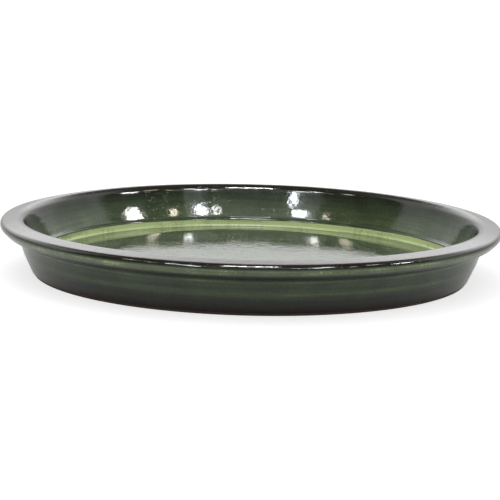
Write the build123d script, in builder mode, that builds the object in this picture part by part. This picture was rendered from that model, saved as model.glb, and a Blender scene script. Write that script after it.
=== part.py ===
from build123d import *
import os

# A round glazed stoneware plant saucer with a flat overhanging rim. It is one turned and
# fired clay body, with a coat of glaze fused to its inside and another to its outside.
# Millimetres. The foot stands on Z = 0 and the turning axis is the Z axis.

os.makedirs("parts", exist_ok=True)

# Sizes that a buyer or a potter would measure.
saucer_diameter = 400.0
glaze_thickness = 0.6

# Clay rim: a flat-topped flange that falls a little outwards.
crest_height = 44.6
rim_width = 17.0
rim_overhang = 14.8
rim_fall = 3.1
rim_face_height = 8.5
rim_tuck = 4.1
rim_underside_rise = 5.3

# Clay wall: it leans outwards from the foot. Outside it has a slight belt below half
# height. Inside it is a little hollow, as the potter's rib leaves it, and the hollow is
# deepest at wall_hollow_share of the way up.
foot_inset = 11.6
wall_thickness = 8.5
belt_height = 16.2
belt_swell = 0.7
belt_round = 40.0
wall_hollow = 0.65
wall_hollow_share = 0.4
under_rim_fillet = 2.0

# Clay floor: a raised flat seat, sloping down to a channel with a low step round it. The
# underside rises with the seat, inside the foot ring.
floor_thickness = 7.4
seat_rise = 6.7
seat_slope_width = 46.0
channel_width = 13.3
underside_inset = 10.0
foot_ring_width = 14.0
foot_recess = 2.0
step_height = 6.8
step_batter = 0.8
step_fillet = 2.0
ledge_width = 2.5

# The outside glaze stops this far above the foot, and the clay below it is bare.
bare_foot_height = 2.5

# Rounds, as shares of the rim face, rim width, channel, ledge, wall or foot recess they
# soften. The flare's own height is a share of the rim face too.
rim_flare_share = 0.5
rim_edge_round_share = 0.15
rim_flare_round_share = 0.3
shoulder_round_share = 0.38
crest_round_share = 0.35
ledge_round_share = 0.6
ledge_fillet_share = 0.6
foot_round_share = 0.5
glaze_edge_round_share = 0.6
hollow_round_share = 0.5
seat_round_share = 0.55

# Radii and heights of the clay's corners, worked out from the sizes above.
rim_radius = saucer_diameter / 2 - glaze_thickness
crest_radius = rim_radius - rim_width
shoulder_height = crest_height - rim_fall
rim_low_height = shoulder_height - rim_face_height
rim_flare_height = rim_low_height + rim_face_height * rim_flare_share
rim_low_radius = rim_radius - rim_tuck
wall_top_radius = rim_radius - rim_overhang
wall_top_height = rim_low_height - rim_underside_rise
foot_radius = wall_top_radius - foot_inset
foot_ring_radius = foot_radius - foot_ring_width
belt_radius = foot_radius + foot_inset * belt_height / wall_top_height + belt_swell
floor_height = foot_recess + floor_thickness
ledge_height = floor_height + step_height
wall_run_per_rise = (belt_radius - foot_radius) / belt_height
wall_foot_radius = foot_radius + ledge_height * wall_run_per_rise - wall_thickness
ledge_radius = wall_foot_radius - ledge_width
step_radius = ledge_radius - step_batter
slope_foot_radius = step_radius - channel_width
seat_radius = slope_foot_radius - seat_slope_width
seat_height = floor_height + seat_rise

# The rounds at the seat's edge and at the foot of its slope reach into the channel by a
# share of its width.
seat_round = 2 * seat_round_share * channel_width * seat_slope_width / seat_rise

# The hollow wall bends at one point, and its round reaches down the wall by a share of the
# part below that point.
wall_inside_height = crest_height - ledge_height
wall_inside_run = crest_radius - wall_foot_radius
hollow_radius = wall_foot_radius + wall_inside_run * wall_hollow_share + wall_hollow
hollow_height = ledge_height + wall_inside_height * wall_hollow_share
hollow_turn = wall_hollow / (wall_inside_height * wall_hollow_share * (1 - wall_hollow_share))
hollow_round = 2 * hollow_round_share * wall_inside_height * wall_hollow_share / hollow_turn

rim_edge_round = rim_face_height * rim_edge_round_share
foot_round = foot_recess * foot_round_share

# Each corner of the clay's half section with its round, from the underside of the floor
# out to the foot, up the wall, over the rim and down the inside to the floor again.
clay_corners = [
    ((0, foot_recess + seat_rise), 0),
    ((seat_radius - underside_inset, foot_recess + seat_rise), seat_round),
    ((slope_foot_radius - underside_inset, foot_recess), seat_round),
    ((foot_ring_radius, foot_recess), foot_round),
    ((foot_ring_radius, 0), foot_round),
    ((foot_radius, 0), foot_round),
    ((belt_radius, belt_height), belt_round),
    ((wall_top_radius, wall_top_height), under_rim_fillet),
    ((rim_low_radius, rim_low_height), rim_edge_round),
    ((rim_radius, rim_flare_height), rim_face_height * rim_flare_round_share),
    ((rim_radius, shoulder_height), rim_face_height * shoulder_round_share),
    ((crest_radius, crest_height), rim_width * crest_round_share),
    ((hollow_radius, hollow_height), hollow_round),
    ((wall_foot_radius, ledge_height), ledge_width * ledge_fillet_share),
    ((ledge_radius, ledge_height), ledge_width * ledge_round_share),
    ((step_radius, floor_height), step_fillet),
    ((slope_foot_radius, floor_height), seat_round),
    ((seat_radius, seat_height), seat_round),
    ((0, seat_height), 0),
]

# The clay body: floor, step, wall, rim and foot ring, turned in one piece.
with BuildPart() as clay_body:
    with BuildSketch(Plane.XZ) as clay_section:
        with BuildLine():
            FilletPolyline(
                [corner for corner, radius in clay_corners],
                radius=[radius for corner, radius in clay_corners],
                close=True,
            )
        make_face()
    revolve(axis=Axis.Z)
clay_body.part.label = "clay_body"

# The two coats meet on the crest of the rim. This outline holds the inside one: its lower
# edge runs through the middle of the floor and wall, and up to the crest.
join_radius = crest_radius + rim_width * crest_round_share
coat_top = crest_height + 2 * glaze_thickness
wall_middle_radius = step_radius + (foot_radius - step_radius) / 2
floor_middle = foot_recess + floor_thickness / 2
with BuildSketch(Plane.XZ) as inner_side:
    with BuildLine():
        Polyline(
            (0, floor_middle + seat_rise),
            (seat_radius - underside_inset / 2, floor_middle + seat_rise),
            (slope_foot_radius - underside_inset / 2, floor_middle),
            (wall_middle_radius, floor_middle),
            (join_radius, shoulder_height),
            (join_radius, coat_top),
            (0, coat_top),
            close=True,
        )
    make_face()

# The inside glaze: poured in, it covers the floor, the step and the wall to the crest.
with BuildPart() as inside_glaze:
    with BuildSketch(Plane.XZ) as inside_coat:
        add(clay_section.sketch_local)
        offset(amount=glaze_thickness)
        add(clay_section.sketch_local, mode=Mode.SUBTRACT)
        add(inner_side.sketch_local, mode=Mode.INTERSECT)
    revolve(axis=Axis.Z)
inside_glaze.part.label = "inside_glaze"

# The outside glaze: it goes on from the crest over the rim, and down the wall to a line
# above the bare foot.
with BuildPart() as outside_glaze:
    with BuildSketch(Plane.XZ) as outside_coat:
        add(clay_section.sketch_local)
        offset(amount=glaze_thickness)
        add(clay_section.sketch_local, mode=Mode.SUBTRACT)
        add(inner_side.sketch_local, mode=Mode.SUBTRACT)
        with BuildLine():
            Polyline(
                (foot_ring_radius, bare_foot_height),
                (saucer_diameter, bare_foot_height),
                (saucer_diameter, coat_top),
                (foot_ring_radius, coat_top),
                close=True,
            )
        make_face(mode=Mode.INTERSECT)
        glaze_edge = outside_coat.vertices().group_by(Axis.Y)[0].sort_by(Axis.X)[-1]
        fillet(glaze_edge, radius=glaze_thickness * glaze_edge_round_share)
    revolve(axis=Axis.Z)
outside_glaze.part.label = "outside_glaze"

export_step(clay_body.part, "parts/clay_body.step")
export_step(inside_glaze.part, "parts/inside_glaze.step")
export_step(outside_glaze.part, "parts/outside_glaze.step")
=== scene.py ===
import math

import bmesh
import bpy
from mathutils import Matrix, Vector, noise


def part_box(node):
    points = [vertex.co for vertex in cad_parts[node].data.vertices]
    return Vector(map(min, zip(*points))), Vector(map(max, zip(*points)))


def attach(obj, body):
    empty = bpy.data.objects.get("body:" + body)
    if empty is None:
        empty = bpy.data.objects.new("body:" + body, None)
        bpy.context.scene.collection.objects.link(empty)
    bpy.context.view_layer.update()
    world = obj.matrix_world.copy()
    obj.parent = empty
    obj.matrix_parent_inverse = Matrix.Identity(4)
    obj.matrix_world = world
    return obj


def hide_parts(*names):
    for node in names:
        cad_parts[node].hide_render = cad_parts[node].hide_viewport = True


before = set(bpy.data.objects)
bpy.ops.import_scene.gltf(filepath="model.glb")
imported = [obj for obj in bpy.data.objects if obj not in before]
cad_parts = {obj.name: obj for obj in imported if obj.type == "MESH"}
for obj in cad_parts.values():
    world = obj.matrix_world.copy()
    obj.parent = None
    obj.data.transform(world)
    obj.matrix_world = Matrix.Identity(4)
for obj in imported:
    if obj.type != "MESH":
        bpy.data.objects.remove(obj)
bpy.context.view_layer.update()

# The clay body is one turned piece of dark stoneware: floor, step, wall, rim and foot ring.
# It is thrown on a wheel, trimmed underneath, fired once bare and once more with its glaze.
mm = 0.001
clay_low, clay_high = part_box("clay_body")
rim_radius = min(clay_high.x, clay_high.y)
glaze_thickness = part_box("outside_glaze")[1].x - clay_high.x
floor_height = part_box("inside_glaze")[0].z
crest_height = 44.6 * mm
rim_width = 17 * mm
rim_overhang = 14.8 * mm
rim_fall = 3.1 * mm
rim_face_height = 8.5 * mm
rim_tuck = 4.1 * mm
rim_underside_rise = 5.3 * mm
rim_flare_share = 0.5
foot_inset = 11.6 * mm
wall_thickness = 8.5 * mm
belt_height = 16.2 * mm
belt_swell = 0.7 * mm
wall_hollow = 0.65 * mm
wall_hollow_share = 0.4
foot_ring_width = 14 * mm
foot_recess = 2 * mm
step_height = 6.8 * mm
step_batter = 0.8 * mm
ledge_width = 2.5 * mm
seat_rise = 6.7 * mm
seat_slope_width = 46 * mm
channel_width = 13.3 * mm
underside_inset = 10 * mm
foot_round = 1 * mm
belt_round = 40 * mm
under_rim_fillet = 2.2 * mm
rim_edge_round = 1.4 * mm
rim_flare_round = 2.5 * mm
shoulder_round = 3.2 * mm
crest_round = 5.95 * mm
hollow_round = 120 * mm
ledge_round = 1.5 * mm
step_fillet = 2.2 * mm
seat_round = 100 * mm

# Radii and heights of the clay's corners follow from these sizes.
crest_radius = rim_radius - rim_width
shoulder_height = crest_height - rim_fall
rim_low_height = shoulder_height - rim_face_height
rim_flare_height = rim_low_height + rim_face_height * rim_flare_share
wall_top_radius = rim_radius - rim_overhang
wall_top_height = rim_low_height - rim_underside_rise
foot_radius = wall_top_radius - foot_inset
foot_ring_radius = foot_radius - foot_ring_width
belt_radius = foot_radius + foot_inset * belt_height / wall_top_height + belt_swell
ledge_height = floor_height + step_height
wall_slope = (belt_radius - foot_radius) / belt_height
wall_foot_radius = foot_radius + ledge_height * wall_slope - wall_thickness
ledge_radius = wall_foot_radius - ledge_width
step_radius = ledge_radius - step_batter
slope_foot_radius = step_radius - channel_width
seat_radius = slope_foot_radius - seat_slope_width
seat_height = floor_height + seat_rise
wall_run = crest_radius - wall_foot_radius
hollow_radius = wall_foot_radius + wall_run * wall_hollow_share + wall_hollow
hollow_height = ledge_height + (crest_height - ledge_height) * wall_hollow_share

# Corners of the half section, each with its round: the underside and foot, the outer wall
# and rim, then the wall, ledge, step, channel and raised seat inside.
underside = [
    ((0, foot_recess + seat_rise), 0),
    ((seat_radius - underside_inset, foot_recess + seat_rise), seat_round),
    ((slope_foot_radius - underside_inset, foot_recess), seat_round),
    ((foot_ring_radius, foot_recess), foot_round),
    ((foot_ring_radius, 0), foot_round),
    ((foot_radius, 0), foot_round),
]
outer_side = [
    ((belt_radius, belt_height), belt_round),
    ((wall_top_radius, wall_top_height), under_rim_fillet),
    ((rim_radius - rim_tuck, rim_low_height), rim_edge_round),
    ((rim_radius, rim_flare_height), rim_flare_round),
    ((rim_radius, shoulder_height), shoulder_round),
]
crest = [((crest_radius, crest_height), crest_round)]
inner_side = [
    ((hollow_radius, hollow_height), hollow_round),
    ((wall_foot_radius, ledge_height), ledge_round),
    ((ledge_radius, ledge_height), ledge_round),
    ((step_radius, floor_height), step_fillet),
    ((slope_foot_radius, floor_height), seat_round),
    ((seat_radius, seat_height), seat_round),
    ((0, seat_height), 0),
]
round_segments = 8
merge_distance = 0.001 * mm


def turned_sheet(corners, turn_steps, longest_run):
    """A sheet of faces spun round Z from a half section whose corners are rounded."""
    sheet = bmesh.new()
    points = [sheet.verts.new((radius, 0, height)) for (radius, height), round_radius in corners]
    for start, end in zip(points, points[1:]):
        sheet.edges.new((start, end))
    for point, (place, round_radius) in zip(points, corners):
        if round_radius:
            before, after = (edge.other_vert(point).co - point.co for edge in point.link_edges)
            turn = math.pi - before.angle(after)
            bmesh.ops.bevel(
                sheet, geom=[point], offset=round_radius * math.tan(turn / 2), offset_type="OFFSET",
                segments=round_segments, profile=0.5, affect="VERTICES", material=-1,
            )
    for edge in sheet.edges[:]:
        cuts = int(edge.calc_length() / longest_run)
        if cuts:
            bmesh.ops.subdivide_edges(sheet, edges=[edge], cuts=cuts)
    bmesh.ops.spin(
        sheet, geom=sheet.verts[:] + sheet.edges[:], cent=(0, 0, 0), axis=(0, 0, 1), dvec=(0, 0, 0),
        angle=math.tau, steps=turn_steps, use_merge=True, use_duplicate=False,
    )
    bmesh.ops.remove_doubles(sheet, verts=sheet.verts, dist=merge_distance)
    bmesh.ops.recalc_face_normals(sheet, faces=sheet.faces)
    sheet.normal_update()
    return sheet


sharp_edge = math.radians(40)


def finished_piece(sheet, name, node, material):
    """The piece made of a bmesh, in place of its CAD node and on the body that carries it."""
    mesh = bpy.data.meshes.new(name)
    sheet.to_mesh(mesh)
    sheet.free()
    mesh.set_sharp_from_angle(angle=sharp_edge)
    mesh.materials.append(material)
    piece = bpy.data.objects.new(name, mesh)
    bpy.context.scene.collection.objects.link(piece)
    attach(piece, "root")
    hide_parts(node)
    return piece


def add_node(tree, kind, inputs=None, **settings):
    """A shader node with its settings, and each input set to a value or linked to a socket."""
    made = tree.nodes.new(kind)
    for key, value in settings.items():
        setattr(made, key, value)
    for key, value in (inputs or {}).items():
        if isinstance(value, bpy.types.NodeSocket):
            tree.links.new(value, made.inputs[key])
        else:
            made.inputs[key].default_value = value
    return made


def add_ramp(tree, factor, stops):
    """A colour ramp through stops of (position, value), where a value is a grey or a colour."""
    ramp = add_node(tree, "ShaderNodeValToRGB", {"Fac": factor})
    elements = ramp.color_ramp.elements
    while len(elements) < len(stops):
        elements.new(1)
    for element, (position, value) in zip(elements, stops):
        element.position = position
        colour = value if isinstance(value, tuple) else (value, value, value)
        element.color = (*colour, 1)
    return ramp.outputs["Color"]


def new_material(name, roughness):
    """A material with its shader and output, ready for its colour and its bump."""
    material = bpy.data.materials.new(name)
    material.use_nodes = True
    tree = material.node_tree
    shader = tree.nodes["Principled BSDF"]
    shader.inputs["Roughness"].default_value = roughness
    return material, tree, shader


# The trimming tool leaves shallow rings on the underside, inside the foot ring.
clay_turn_steps = 300
clay_longest_run = 6 * mm
clay_sheet = turned_sheet(
    underside + outer_side + crest + inner_side, clay_turn_steps, clay_longest_run,
)
ring_depth = 0.12 * mm
ring_pitch = 5 * mm
ring_margin = 2 * mm
rings_edge = foot_ring_radius - ring_margin
for vert in clay_sheet.verts:
    if vert.normal.z < 0 and vert.co.xy.length < rings_edge:
        ring = vert.co.xy.length / ring_pitch
        vert.co.z -= ring_depth * noise.noise(Vector((ring, 0, 0)))

clay_roughness = 0.85
clay_grain = 0.2 * mm
clay, tree, shader = new_material("dark stoneware", clay_roughness)
place = add_node(tree, "ShaderNodeTexCoord").outputs["Object"]
cloud = add_node(tree, "ShaderNodeTexNoise", {"Vector": place, "Scale": 110, "Detail": 9})
grit = add_node(tree, "ShaderNodeTexNoise", {"Vector": place, "Scale": 1400, "Detail": 3})
clay_colour = add_ramp(tree, cloud.outputs["Fac"], [
    (0.35, (0.052, 0.031, 0.021)),
    (0.65, (0.092, 0.057, 0.038)),
])
tree.links.new(clay_colour, shader.inputs["Base Color"])
grain = add_node(tree, "ShaderNodeBump", {
    "Height": grit.outputs["Fac"], "Strength": 0.5, "Distance": clay_grain,
})
tree.links.new(grain.outputs["Normal"], shader.inputs["Normal"])
finished_piece(clay_sheet, "turned_clay_body", "clay_body", clay)


# The inside glaze is a fired glass coat, poured into the saucer and swilled up to the crest.
# It is brown-black where it is thin, dark green where it is thicker and pale where it pools.
join_radius = crest_radius + crest_round
join_share = crest_round / rim_width
join_point = ((join_radius, crest_height - rim_fall * join_share), 0)
coat_turn_steps = 400
coat_longest_run = 2.6 * mm
wide_wave = 34 * mm
wide_dip = 0.05 * mm
fine_wave = 9 * mm
fine_dip = 0.025 * mm


def glaze_coat(corners):
    """A coat on the clay along these corners, whose skin dips a little in gentle waves."""
    coat = turned_sheet(corners, coat_turn_steps, coat_longest_run)
    # Solidify grows a sheet against its normals, so they have to point into the clay here.
    crest_face = max(coat.faces, key=lambda face: face.calc_center_median().z)
    if crest_face.normal.z > 0:
        bmesh.ops.reverse_faces(coat, faces=coat.faces)
    thickened = bmesh.ops.solidify(coat, geom=coat.faces[:], thickness=glaze_thickness)
    skin = [part for part in thickened["geom"] if isinstance(part, bmesh.types.BMVert)]
    bmesh.ops.recalc_face_normals(coat, faces=coat.faces)
    for vert in skin:
        wide = wide_dip * (noise.noise(vert.co / wide_wave) - 1)
        fine = fine_dip * (noise.noise(vert.co / fine_wave) - 1)
        outwards = max(vert.link_faces, key=lambda face: face.calc_area()).normal
        vert.co += outwards * (wide + fine)
    return coat


def new_group(name, inputs, outputs):
    """An empty shader node group with these float inputs and (name, type) outputs."""
    tree = bpy.data.node_groups.new(name, "ShaderNodeTree")
    for label, value in inputs:
        socket = tree.interface.new_socket(label, in_out="INPUT", socket_type="NodeSocketFloat")
        socket.default_value = value
    for label, kind in outputs:
        tree.interface.new_socket(label, in_out="OUTPUT", socket_type=kind)
    return tree, tree.nodes.new("NodeGroupInput"), tree.nodes.new("NodeGroupOutput")


# Glaze variation: clouds, grain and turned runs that thin or thicken the coat, and the slight
# dimples that fired glass keeps. It has fine dots too, which are small pits. Each has a random
# strength, and some have none.
noise_low = 0.3
noise_high = 0.7
run_stretch = 0.05
run_change = 0.07
cloud_change = 0.07
grain_change = 0.05
missing_dot = 0.2
full_dot = 0.8
dot_reach = 0.3
dot_pit = -1.8
variation, _, result = new_group(
    "glaze variation",
    [],
    [("Change", "NodeSocketFloat"), ("Dots", "NodeSocketFloat"), ("Height", "NodeSocketFloat")],
)
place = add_node(variation, "ShaderNodeTexCoord").outputs["Object"]
split = add_node(variation, "ShaderNodeSeparateXYZ", {"Vector": place})
flat = add_node(variation, "ShaderNodeCombineXYZ", {"X": split.outputs["X"], "Y": split.outputs["Y"]})
radius = add_node(variation, "ShaderNodeVectorMath", {0: flat.outputs[0]}, operation="LENGTH")
along = add_node(variation, "ShaderNodeMath", {0: radius.outputs["Value"], 1: split.outputs["Z"]})
stretched = add_node(variation, "ShaderNodeVectorMath", {
    0: flat.outputs[0], 1: (run_stretch, run_stretch, 0),
}, operation="MULTIPLY")
lifted = add_node(variation, "ShaderNodeCombineXYZ", {"Z": along.outputs[0]})
turned = add_node(variation, "ShaderNodeVectorMath", {0: stretched.outputs[0], 1: lifted.outputs[0]})


def depth_change(where, scale, detail, change):
    """Noise that takes away or adds up to this much of the coat's depth."""
    texture = add_node(variation, "ShaderNodeTexNoise", {
        "Vector": where, "Scale": scale, "Detail": detail,
    })
    return add_node(variation, "ShaderNodeMapRange", {
        "Value": texture.outputs["Fac"], "From Min": noise_low, "From Max": noise_high,
        "To Min": -change, "To Max": change,
    }).outputs[0]


runs = depth_change(turned.outputs[0], scale=330, detail=4, change=run_change)
clouds = depth_change(place, scale=45, detail=4, change=cloud_change)
grain = depth_change(place, scale=600, detail=3, change=grain_change)
change = add_node(variation, "ShaderNodeMath", {0: clouds, 1: grain})
change = add_node(variation, "ShaderNodeMath", {0: change.outputs[0], 1: runs})
dots = add_node(variation, "ShaderNodeTexVoronoi", {"Vector": place, "Scale": 600})
dot_random = add_node(variation, "ShaderNodeSeparateColor", {"Color": dots.outputs["Color"]})
dot_strength = add_node(variation, "ShaderNodeMapRange", {
    "Value": dot_random.outputs["Red"], "From Min": missing_dot, "From Max": full_dot,
})
dot_part = add_node(variation, "ShaderNodeMapRange", {
    "Value": dots.outputs["Distance"], "From Min": 0, "From Max": dot_reach, "To Min": 1, "To Max": 0,
}, interpolation_type="SMOOTHSTEP")
dot_part = add_node(variation, "ShaderNodeMath", {
    0: dot_part.outputs[0], 1: dot_strength.outputs[0],
}, operation="MULTIPLY")
dimples = add_node(variation, "ShaderNodeTexNoise", {"Vector": place, "Scale": 260, "Detail": 3})
dimples = add_node(variation, "ShaderNodeMath", {
    0: dot_part.outputs[0], 1: dot_pit, 2: dimples.outputs["Fac"],
}, operation="MULTIPLY_ADD")
variation.links.new(change.outputs[0], result.inputs["Change"])
variation.links.new(dot_part.outputs[0], result.inputs["Dots"])
variation.links.new(dimples.outputs[0], result.inputs["Height"])

# Glaze colour: what a coat of a given depth looks like over the dark clay, from 0 to 1.
glaze_depth_colours = [
    (0.0, (0.022, 0.018, 0.014)),
    (0.2, (0.026, 0.030, 0.020)),
    (0.4, (0.040, 0.054, 0.032)),
    (0.6, (0.070, 0.098, 0.048)),
    (0.8, (0.145, 0.190, 0.095)),
    (1.0, (0.59, 0.70, 0.33)),
]
glaze_colour, given, result = new_group(
    "glaze colour", [("Depth", 0.5)], [("Colour", "NodeSocketColor")],
)
glaze_colour.links.new(
    add_ramp(glaze_colour, given.outputs["Depth"], glaze_depth_colours), result.inputs["Colour"],
)

# The glaze is glassy, and more silky where it pools. Just above the foot, where it is
# thinnest, its shine is cut: painted shade, so that it mirrors less of the floor there.
glaze_roughness = 0.06
pooled_depth = 0.8
pooled_roughness = 0.3
foot_shade_height = 2 * mm
foot_shade_end_height = 9 * mm
foot_shade_shine = 0.15
full_shine = 0.5
dot_paleness = 0.15
pool_width = 5 * mm
dimple_strength = 0.25
dimple_depth = 0.3 * mm


def glaze_material(name, lowest, highest, height_depths, floor_edge=0, floor_depth=0):
    """Glossy glaze whose depth follows its height in mm, between lowest and highest. A coat
    with a floor has one depth on it, and its pool at the step ends at the floor's edge."""
    material, tree, shader = new_material(name, glaze_roughness)
    place = add_node(tree, "ShaderNodeTexCoord").outputs["Object"]
    split = add_node(tree, "ShaderNodeSeparateXYZ", {"Vector": place})
    height_share = add_node(tree, "ShaderNodeMapRange", {
        "Value": split.outputs["Z"], "From Min": lowest, "From Max": highest,
    })
    height_stops = [
        ((height * mm - lowest) / (highest - lowest), depth) for height, depth in height_depths
    ]
    depth = add_ramp(tree, height_share.outputs[0], height_stops)
    if floor_edge:
        flat = add_node(tree, "ShaderNodeCombineXYZ", {"X": split.outputs["X"], "Y": split.outputs["Y"]})
        radius = add_node(tree, "ShaderNodeVectorMath", {0: flat.outputs[0]}, operation="LENGTH")
        on_floor = add_node(tree, "ShaderNodeMapRange", {
            "Value": radius.outputs["Value"], "From Min": floor_edge - pool_width,
            "From Max": floor_edge, "To Min": 1, "To Max": 0,
        }, interpolation_type="SMOOTHSTEP")
        depth = add_node(tree, "ShaderNodeMix", {
            "Factor": on_floor.outputs[0], "A": depth, "B": floor_depth,
        }, data_type="FLOAT").outputs["Result"]
    varied = add_node(tree, "ShaderNodeGroup", node_tree=variation)
    total = add_node(tree, "ShaderNodeMath", {0: depth, 1: varied.outputs["Change"]})
    dotted = add_node(tree, "ShaderNodeMath", {
        0: varied.outputs["Dots"], 1: dot_paleness, 2: total.outputs[0],
    }, operation="MULTIPLY_ADD")
    colour = add_node(tree, "ShaderNodeGroup", node_tree=glaze_colour)
    tree.links.new(dotted.outputs[0], colour.inputs["Depth"])
    tree.links.new(colour.outputs["Colour"], shader.inputs["Base Color"])
    roughness = add_node(tree, "ShaderNodeMapRange", {
        "Value": total.outputs[0], "From Min": pooled_depth, "From Max": 1,
        "To Min": glaze_roughness, "To Max": pooled_roughness,
    })
    tree.links.new(roughness.outputs[0], shader.inputs["Roughness"])
    # Painted shade: the shine falls towards the foot, so the glaze mirrors less of the floor there.
    shine = add_node(tree, "ShaderNodeMapRange", {
        "Value": split.outputs["Z"], "From Min": foot_shade_height, "From Max": foot_shade_end_height,
        "To Min": foot_shade_shine, "To Max": full_shine,
    })
    tree.links.new(shine.outputs[0], shader.inputs["Specular IOR Level"])
    skin = add_node(tree, "ShaderNodeBump", {
        "Height": varied.outputs["Height"], "Strength": dimple_strength, "Distance": dimple_depth,
    })
    tree.links.new(skin.outputs["Normal"], shader.inputs["Normal"])
    return material


# Depths inside are given as (height in mm, depth). The coat pools at the step, is thin on its
# top edge and thicker just above it, and then thins all the way up the wall.
pool_margin = 0.8 * mm
floor_depth = 0.62
crest_top = crest_height + glaze_thickness
inside_depths = [
    (10, 1.0), (14.6, 1.0), (15.3, 0.5), (16.6, 0.48), (17.1, 0.64), (19, 0.64), (25, 0.58), (34, 0.43),
    (40, 0.22), (43.2, 0.02),
]
inside_coat = glaze_coat([join_point] + crest + inner_side)
inside_material = glaze_material(
    "green glaze inside", floor_height, crest_top, inside_depths,
    floor_edge=step_radius - pool_margin, floor_depth=floor_depth,
)
finished_piece(inside_coat, "poured_inside_glaze", "inside_glaze", inside_material)


# The outside glaze is the same glass, dipped or sprayed on over the rim and down the wall.
# It stops in a level line just above the foot, and the clay below that stays bare.
bare_foot_height = 2.5 * mm
bare_share = bare_foot_height / belt_height
edge_point = ((foot_radius + (belt_radius - foot_radius) * bare_share, bare_foot_height), 0)
outside_coat = glaze_coat([edge_point] + outer_side + [join_point])

# Depths outside: thin at the foot, thicker in two bands on the wall, thin under the rim,
# thickest on the lower half of the rim's face, and very thin again on the rim's shoulder.
outside_depths = [
    (2.2, 0.0), (6, 0.04), (11, 0.16), (14.5, 0.42), (17, 0.62), (19.5, 0.46), (22, 0.42), (25.5, 0.50),
    (27.2, 0.64), (28.4, 0.62), (29.6, 0.30), (31.2, 0.1), (33, 0.1), (34.2, 0.74), (37.8, 0.8),
    (38.8, 0.42), (40.2, 0.1), (44.3, 0.02),
]
outside_material = glaze_material("green glaze outside", 0, crest_top, outside_depths)
finished_piece(outside_coat, "dipped_outside_glaze", "outside_glaze", outside_material)


# The floor is a plain pale sheet that carries on out of view. Seen by the camera or in the
# glaze it glows, so that it is white or near white there, and keeps the saucer's shadow.
floor_size = 30
floor_colour = (0.6, 0.6, 0.6, 1)
floor_glow = 0.65
floor_mirror_glow = 0.25
floor_roughness = 0.9
floor_mesh = bpy.data.meshes.new("floor")
floor_sheet = bmesh.new()
bmesh.ops.create_grid(floor_sheet, x_segments=1, y_segments=1, size=floor_size / 2)
floor_sheet.to_mesh(floor_mesh)
floor_sheet.free()
floor_paint, tree, shader = new_material("pale floor", floor_roughness)
shader.inputs["Base Color"].default_value = floor_colour
shader.inputs["Specular IOR Level"].default_value = 0
light_path = add_node(tree, "ShaderNodeLightPath")
mirror_glow = add_node(tree, "ShaderNodeMath", {
    0: light_path.outputs["Is Glossy Ray"], 1: floor_mirror_glow,
}, operation="MULTIPLY")
glow = add_node(tree, "ShaderNodeMath", {
    0: light_path.outputs["Is Camera Ray"], 1: floor_glow, 2: mirror_glow.outputs[0],
}, operation="MULTIPLY_ADD")
shader.inputs["Emission Color"].default_value = (1, 1, 1, 1)
tree.links.new(glow.outputs[0], shader.inputs["Emission Strength"])
floor_mesh.materials.append(floor_paint)
floor = bpy.data.objects.new("floor", floor_mesh)
bpy.context.scene.collection.objects.link(floor)


# The studio round the saucer: plain grey light from all round, and in the glaze a white tent
# behind and at the sides, brighter above, with the camera's side dark low down.
plain_light = 0.85
white_strength = 1.0
brightest = 3
world = bpy.data.worlds.new("studio")
bpy.context.scene.world = world
world.use_nodes = True
tree = world.node_tree
background = tree.nodes["Background"]
light_path = add_node(tree, "ShaderNodeLightPath")
direction = add_node(tree, "ShaderNodeTexCoord").outputs["Generated"]
split = add_node(tree, "ShaderNodeSeparateXYZ", {"Vector": direction})
level = add_node(tree, "ShaderNodeCombineXYZ", {"X": split.outputs["X"], "Y": split.outputs["Y"]})
level_length = add_node(tree, "ShaderNodeVectorMath", {0: level.outputs[0]}, operation="LENGTH")
facing = add_node(tree, "ShaderNodeMath", {
    0: split.outputs["Y"], 1: level_length.outputs["Value"],
}, operation="DIVIDE")


def by_height(levels):
    """Brightness against height above the level, from (degrees, brightness) pairs."""
    stops = [(math.sin(math.radians(angle)), value / brightest) for angle, value in levels]
    return add_ramp(tree, split.outputs["Z"], stops)


behind_light = by_height([
    (0, 0.68), (4, 0.8), (10, 1.15), (15.3, 1.83), (17.8, 2.3), (20.3, 2.4), (27, 2.8), (30.5, 2.5),
    (38, 0.9), (45, 0.1),
])
side_light = by_height([(0, 0.15), (4, 0.3), (14, 0.8), (22, 1.3), (40, 1.2), (60, 0.1)])
front_light = by_height([(22, 0.06), (26, 0.18), (32, 0.7), (36, 0.95), (44, 1.0), (52, 0.06)])

# Each part of the studio starts and is full at these cosines of the angle from behind.
behind_starts = 0.4
behind_full = 0.95
sides_start = -0.05
sides_full = 0.07
front_starts = -0.72
front_full = -0.99
front_least = 0.04
behind_part = add_node(tree, "ShaderNodeMapRange", {
    "Value": facing.outputs[0], "From Min": behind_starts, "From Max": behind_full,
}, interpolation_type="SMOOTHSTEP")
side_part = add_node(tree, "ShaderNodeMapRange", {
    "Value": facing.outputs[0], "From Min": sides_start, "From Max": sides_full,
}, interpolation_type="SMOOTHSTEP")
front_part = add_node(tree, "ShaderNodeMapRange", {
    "Value": facing.outputs[0], "From Min": front_starts, "From Max": front_full,
    "To Min": front_least, "To Max": 1,
}, interpolation_type="SMOOTHSTEP")
front = add_node(tree, "ShaderNodeMath", {0: front_light, 1: front_part.outputs[0]}, operation="MULTIPLY")

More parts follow.
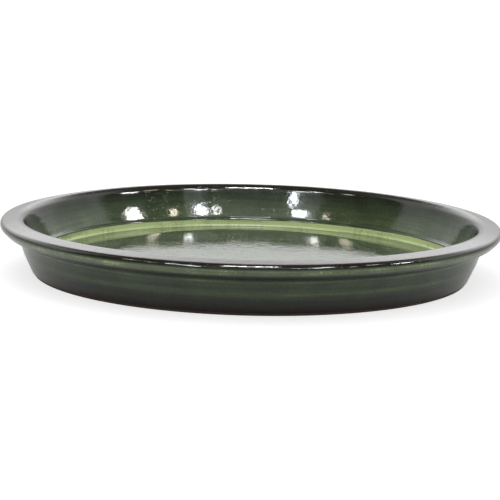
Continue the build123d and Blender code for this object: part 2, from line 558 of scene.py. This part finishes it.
# Two tall windows with soft edges stand to left and right of the camera. A window starts to
# fade at one sine of the angle to either side of its middle, and is gone at the other.
window_light = by_height([(20, 0.0), (26, 0.9), (31, 1.8), (35, 2.6), (44, 2.6), (50, 0.0)])
window_fades = 0.05
window_gone = 0.13
for window_azimuth, window_level in ((33.5, 1.0), (-34, 0.75)):
    turn = math.radians(window_azimuth)
    aside = add_node(tree, "ShaderNodeVectorMath", {
        0: direction, 1: (math.cos(turn), math.sin(turn), 0),
    }, operation="DOT_PRODUCT")
    aside = add_node(tree, "ShaderNodeMath", {0: aside.outputs["Value"]}, operation="ABSOLUTE")
    window_part = add_node(tree, "ShaderNodeMapRange", {
        "Value": aside.outputs[0], "From Min": window_gone, "From Max": window_fades,
        "To Max": window_level,
    }, interpolation_type="SMOOTHSTEP")
    front = add_node(tree, "ShaderNodeMath", {
        0: window_light, 1: window_part.outputs[0], 2: front.outputs[0],
    }, operation="MULTIPLY_ADD")

sides = add_node(tree, "ShaderNodeMix", {
    "Factor": side_part.outputs[0], "A": front.outputs[0], "B": side_light,
}, data_type="FLOAT")
around = add_node(tree, "ShaderNodeMix", {
    "Factor": behind_part.outputs[0], "A": sides.outputs["Result"], "B": behind_light,
}, data_type="FLOAT")
mirrored = add_node(tree, "ShaderNodeMath", {
    0: around.outputs["Result"], 1: brightest,
}, operation="MULTIPLY")
by_glossy = add_node(tree, "ShaderNodeMix", {
    "Factor": light_path.outputs["Is Glossy Ray"], "A": plain_light, "B": mirrored.outputs[0],
}, data_type="FLOAT")
by_camera = add_node(tree, "ShaderNodeMix", {
    "Factor": light_path.outputs["Is Camera Ray"], "A": by_glossy.outputs["Result"], "B": white_strength,
}, data_type="FLOAT")
tree.links.new(by_camera.outputs["Result"], background.inputs["Strength"])
background.inputs["Color"].default_value = (1, 1, 1, 1)

# Lamps and the bright cores of the windows, in front of the saucer and beside it. They show
# in the glaze alone, because the studio's plain light already lights the object. Each row has
# azimuth, elevation, width and height in degrees as the saucer sees them, then strength,
# colour and shape. Azimuth runs from the camera towards +X, which the saucer has on its left.
lamp_distance = 3.2
white = (1, 0.99, 0.97)
cool = (0.86, 0.93, 1.0)
warm = (1, 0.9, 0.72)
lamps = {
    "key_lamp": (76, 31, 10, 7, 40, white, "ELLIPSE"),
    "left_window_core": (31.8, 36.5, 7, 5, 40, cool, "ELLIPSE"),
    "left_small_lamp": (22.2, 37.3, 4, 3, 25, white, "ELLIPSE"),
    "right_window_top": (-25.3, 30, 4, 7, 35, cool, "RECTANGLE"),
    "right_window_core": (-31, 37.3, 8, 4, 40, cool, "ELLIPSE"),
    "left_warm_lamp": (50.3, 35.5, 4, 3, 22, warm, "ELLIPSE"),
    "right_warm_lamp": (-48.5, 36.5, 4, 2, 18, warm, "ELLIPSE"),
    "left_high_lamp": (41.5, 45.5, 5, 4, 60, white, "ELLIPSE"),
    "left_far_lamp": (68, 45, 6, 4, 20, warm, "ELLIPSE"),
    "right_high_lamp": (-42, 45.5, 5, 4, 60, white, "ELLIPSE"),
    "right_far_lamp": (-65, 44, 6, 4, 20, warm, "ELLIPSE"),
}
for number, azimuth in enumerate((16.5, 5.7, -5.2, -15.6), start=1):
    lamps[f"row_lamp_{number}"] = (azimuth, 67, 3, 12, 70, white, "ELLIPSE")
for name, (azimuth, elevation, width, height, strength, colour, shape) in lamps.items():
    turn = math.radians(azimuth)
    lift = math.radians(elevation)
    away = Vector((math.sin(turn) * math.cos(lift), -math.cos(turn) * math.cos(lift), math.sin(lift)))
    lamp = bpy.data.lights.new(name, "AREA")
    lamp.shape = shape
    lamp.size = lamp_distance * math.radians(width)
    lamp.size_y = lamp_distance * math.radians(height)
    lamp.color = colour
    lamp.energy = strength * math.pi * lamp.size * lamp.size_y
    holder = bpy.data.objects.new(name, lamp)
    holder.location = away * lamp_distance
    holder.rotation_euler = away.to_track_quat("Z", "Y").to_euler()
    holder.visible_diffuse = False
    holder.visible_camera = False
    bpy.context.scene.collection.objects.link(holder)

# One large soft box behind and above gives the plain light a side, and the shadow a place.
box_size = 1.6
box_strength = 1.1
box_place = Vector((-0.5, 1.0, 1.9))
soft_box = bpy.data.lights.new("soft_box", "AREA")
soft_box.size = box_size
soft_box.energy = box_strength * math.pi * box_size * box_size
holder = bpy.data.objects.new("soft_box", soft_box)
holder.location = box_place
holder.rotation_euler = box_place.to_track_quat("Z", "Y").to_euler()
holder.visible_glossy = False
holder.visible_camera = False
bpy.context.scene.collection.objects.link(holder)


# The camera stands 1.8 m away, ten degrees above the rim's level and tilted a little, as
# fitted to the photo's outline. Its long lens shows the saucer as large as the photo does.
view_height = math.radians(10.036)
view_tilt = math.radians(1.36)
view_distance = 1.7836
view_target = Vector((-0.36 * mm, 0, 18.08 * mm))
sensor_width_mm = 36
lens_mm = 160.04
towards_camera = Vector((0, -math.cos(view_height), math.sin(view_height)))
aim = towards_camera.to_track_quat("Z", "Y").to_matrix() @ Matrix.Rotation(view_tilt, 3, "Z")
camera_data = bpy.data.cameras.new("camera")
camera_data.sensor_width = sensor_width_mm
camera_data.lens = lens_mm
camera = bpy.data.objects.new("camera", camera_data)
camera.matrix_world = Matrix.Translation(view_target + towards_camera * view_distance) @ aim.to_4x4()
bpy.context.scene.collection.objects.link(camera)
bpy.context.scene.camera = camera
bpy.context.scene.view_settings.view_transform = "Standard"
